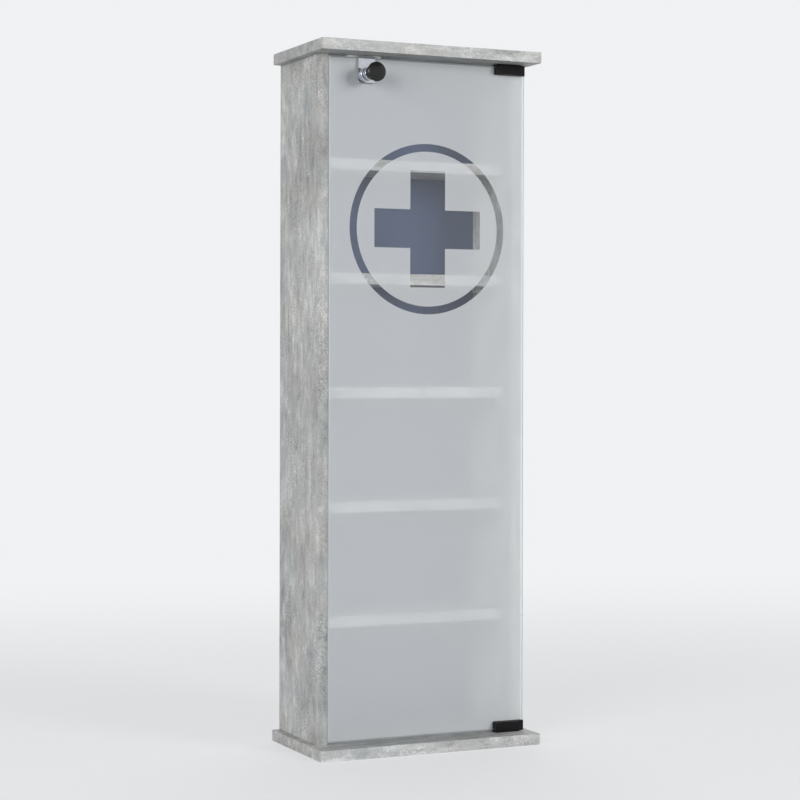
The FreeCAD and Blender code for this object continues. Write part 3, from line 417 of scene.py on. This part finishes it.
CHROME = (0.6, 0.62, 0.66)
CHROME_SCRATCHES = (900, 900, 300)
ZINC = (0.5, 0.51, 0.54)
ZINC_SCRATCHES = (700, 700, 60)
WHITE_PLASTIC = (0.74, 0.74, 0.73)
NYLON = (0.7, 0.69, 0.65)
FERRITE = (0.03, 0.03, 0.032)
BLACK_RUBBER = (0.03, 0.03, 0.03)
PALE_RUBBER = (0.62, 0.63, 0.65)
SHELVES = ("shelf_1", "shelf_2", "shelf_3", "shelf_4", "shelf_5")


def dress_cabinet():
    """Materials of every node."""
    upright = concrete_decor(
        "concrete_upright", ALONG_HEIGHT, UPRIGHT_START, front_tone=UPRIGHT_FRONT_TONE
    )
    dress(upright, "left_side", "right_side")
    level = concrete_decor("concrete_level", ALONG_WIDTH, LEVEL_START)
    dress(level, "top_board", "bottom_board", *SHELVES)
    rail = concrete_decor("concrete_rail", ALONG_WIDTH, LEVEL_START, raw_rear=False)
    dress(rail, "hanging_rail")
    dress(back_board(), "back_panel")
    dress(clear_glass(), "door_glass")
    dress(frosted_layer(), "frost_film")
    dress(powder_coat(), "bottom_hinge_clip", "top_hinge_clip", "hinge_set_screws")
    chrome = bright_metal(
        "bright_chrome",
        CHROME,
        roughness=0.05,
        scratch_scale=CHROME_SCRATCHES,
        scratch_strength=0.015,
    )
    dress(chrome, "knob_clip", "knob_collar")
    zinc = bright_metal(
        "zinc_plate", ZINC, roughness=0.26, scratch_scale=ZINC_SCRATCHES, scratch_strength=0.05
    )
    dress(
        zinc,
        "cam_bolts",
        "cam_discs",
        "left_keyhole_plate",
        "right_keyhole_plate",
        "keyhole_plate_screws",
        "catch_pole_plates",
        "catch_screws",
        "bottom_hinge_pin",
        "top_hinge_pin",
        "knob_rivet",
    )
    dress(black_gloss(), "knob_cap")
    white_plastic = moulded_plastic("white_plastic", WHITE_PLASTIC, roughness=0.42)
    dress(white_plastic, "shelf_supports", "catch_housing")
    dress(moulded_plastic("nylon", NYLON, roughness=0.5), "bottom_pivot_bush", "top_pivot_bush")
    dress(moulded_plastic("ferrite", FERRITE, roughness=0.6), "catch_magnet")
    black_rubber = moulded_plastic("liner_rubber", BLACK_RUBBER, roughness=0.7)
    dress(black_rubber, "bottom_hinge_liner", "top_hinge_liner")
    dress(moulded_plastic("pale_liner", PALE_RUBBER, roughness=0.55), "knob_clip_liner")
    dress(beech(), "dowels")


PALE = (0.87, 0.885, 0.9)
FLOOR_DARK = (0.74, 0.75, 0.765)
FLOOR_LIGHT = (0.78, 0.79, 0.805)
FLOOR_RADIUS = 4.0
FLOOR_FADE_START = 0.4
FLOOR_FADE_END = 2.4
FLOOR_CORNERS = 96
FLOOR_GLOW = 0.6


def add_floor():
    """Pale round floor under the cabinet, which fades into the background."""
    shape = bmesh.new()
    bmesh.ops.create_circle(shape, cap_ends=True, segments=FLOOR_CORNERS, radius=FLOOR_RADIUS)
    mesh = bpy.data.meshes.new("floor")
    shape.to_mesh(mesh)
    shape.free()
    floor = bpy.data.objects.new("floor", mesh)
    floor.location.z = cad_low.z
    bpy.context.scene.collection.objects.link(floor)

    paint = Paint("floor")
    distance = paint.add("ShaderNodeVectorMath", {0: paint.place}, operation="LENGTH").outputs["Value"]
    colour = paint.mix(paint.noise(paint.place, scale=40, detail=3), FLOOR_DARK, FLOOR_LIGHT)
    matt = paint.add("ShaderNodeBsdfDiffuse", {"Color": colour}).outputs[0]
    glow = paint.add("ShaderNodeEmission", {"Color": PALE, "Strength": 1.0}).outputs[0]
    near = paint.mix_shaders(paint.math("MULTIPLY", paint.seen(), FLOOR_GLOW), matt, glow)
    gone = paint.add("ShaderNodeBsdfTransparent").outputs[0]
    fade = paint.span(distance, FLOOR_FADE_START, FLOOR_FADE_END)
    mesh.materials.append(paint.finish(paint.mix_shaders(fade, near, gone)))


AMBIENT_BELOW = (0.08, 0.081, 0.082)
AMBIENT = (0.43, 0.435, 0.44)
AMBIENT_ABOVE = (0.16, 0.163, 0.165)
CEILING = (0.22, 0.225, 0.235)


def add_world():
    """Even soft light, weaker from above and below. The camera, metal and glass see a pale background."""
    world = bpy.data.worlds.new("studio")
    bpy.context.scene.world = world
    world.use_nodes = True
    sky = NodeTree(world.node_tree)
    direction = sky.add("ShaderNodeTexCoord").outputs["Generated"]
    rise = sky.part_of(direction, "Z")
    ambient = sky.mix(sky.span(rise, low=-0.5, high=0.0), AMBIENT_BELOW, AMBIENT)
    ambient = sky.mix(sky.span(rise, low=0.1, high=0.7), ambient, AMBIENT_ABOVE)
    backdrop = sky.mix(sky.span(rise, low=0.4, high=0.75), PALE, CEILING)
    light = sky.add("ShaderNodeBackground", {"Color": ambient}).outputs[0]
    view = sky.add("ShaderNodeBackground", {"Color": backdrop}).outputs[0]
    sky.add("ShaderNodeOutputWorld", {"Surface": sky.mix_shaders(sky.seen(), light, view)})


MIDDLE = Vector((0.0, -0.09, -0.42))


def add_lamp(name, place, width, height, watts, mirrored):
    """A soft box that points at the middle of the cabinet. It isn't seen through the glass.

    mirrored says whether glass, metal and gloss reflect it.
    """
    lamp = bpy.data.lights.new(name, "AREA")
    lamp.shape = "RECTANGLE"
    lamp.size = width
    lamp.size_y = height
    lamp.energy = watts
    thing = bpy.data.objects.new(name, lamp)
    thing.visible_transmission = False
    thing.visible_glossy = mirrored
    thing.location = place
    thing.rotation_euler = (MIDDLE - Vector(place)).to_track_quat("-Z", "Y").to_euler()
    bpy.context.scene.collection.objects.link(thing)


def add_lights():
    """Large soft lamps at the front left and the front right, one behind, and a small one over the top."""
    add_lamp("left", (-2.5, -1.9, 0.35), width=1.8, height=1.3, watts=58, mirrored=True)
    add_lamp("right", (1.5, -2.7, 0.35), width=1.0, height=1.3, watts=48, mirrored=False)
    add_lamp("rear", (0.6, 2.6, 0.2), width=2.0, height=1.6, watts=28, mirrored=False)
    add_lamp("above", (0.45, 0.55, 1.9), width=0.7, height=0.7, watts=12, mirrored=True)


PHOTO_SIDE = 800
FOCAL_PIXELS = 2093.1
CENTRE_COLUMN = 398.2
CENTRE_ROW = 365.1
SENSOR_WIDTH = 36.0
CAMERA_PLACE = (-1.21354, -2.70656, -0.36791)
CAMERA_YAW = math.radians(24.65)
CAMERA_PITCH = math.radians(-0.171)
CAMERA_ROLL = math.radians(0.128)


def add_camera():
    """The camera of the photograph, fitted to the corners of the boards."""
    camera = bpy.data.cameras.new("camera")
    camera.sensor_width = SENSOR_WIDTH
    camera.lens = SENSOR_WIDTH * FOCAL_PIXELS / PHOTO_SIDE
    camera.shift_x = 0.5 - CENTRE_COLUMN / PHOTO_SIDE
    camera.shift_y = CENTRE_ROW / PHOTO_SIDE - 0.5
    forward = Vector(
        (
            math.sin(CAMERA_YAW) * math.cos(CAMERA_PITCH),
            math.cos(CAMERA_YAW) * math.cos(CAMERA_PITCH),
            math.sin(CAMERA_PITCH),
        )
    )
    level = Vector((math.cos(CAMERA_YAW), -math.sin(CAMERA_YAW), 0))
    steep = level.cross(forward)
    right = level * math.cos(CAMERA_ROLL) + steep * math.sin(CAMERA_ROLL)
    up = right.cross(forward)
    turn = Matrix((right, up, -forward)).transposed()
    thing = bpy.data.objects.new("camera", camera)
    thing.matrix_world = Matrix.Translation(CAMERA_PLACE) @ turn.to_4x4()
    bpy.context.scene.collection.objects.link(thing)
    bpy.context.scene.camera = thing


dress_cabinet()
add_floor()
add_world()
add_lights()
add_camera()
bpy.context.scene.view_settings.view_transform = "Standard"
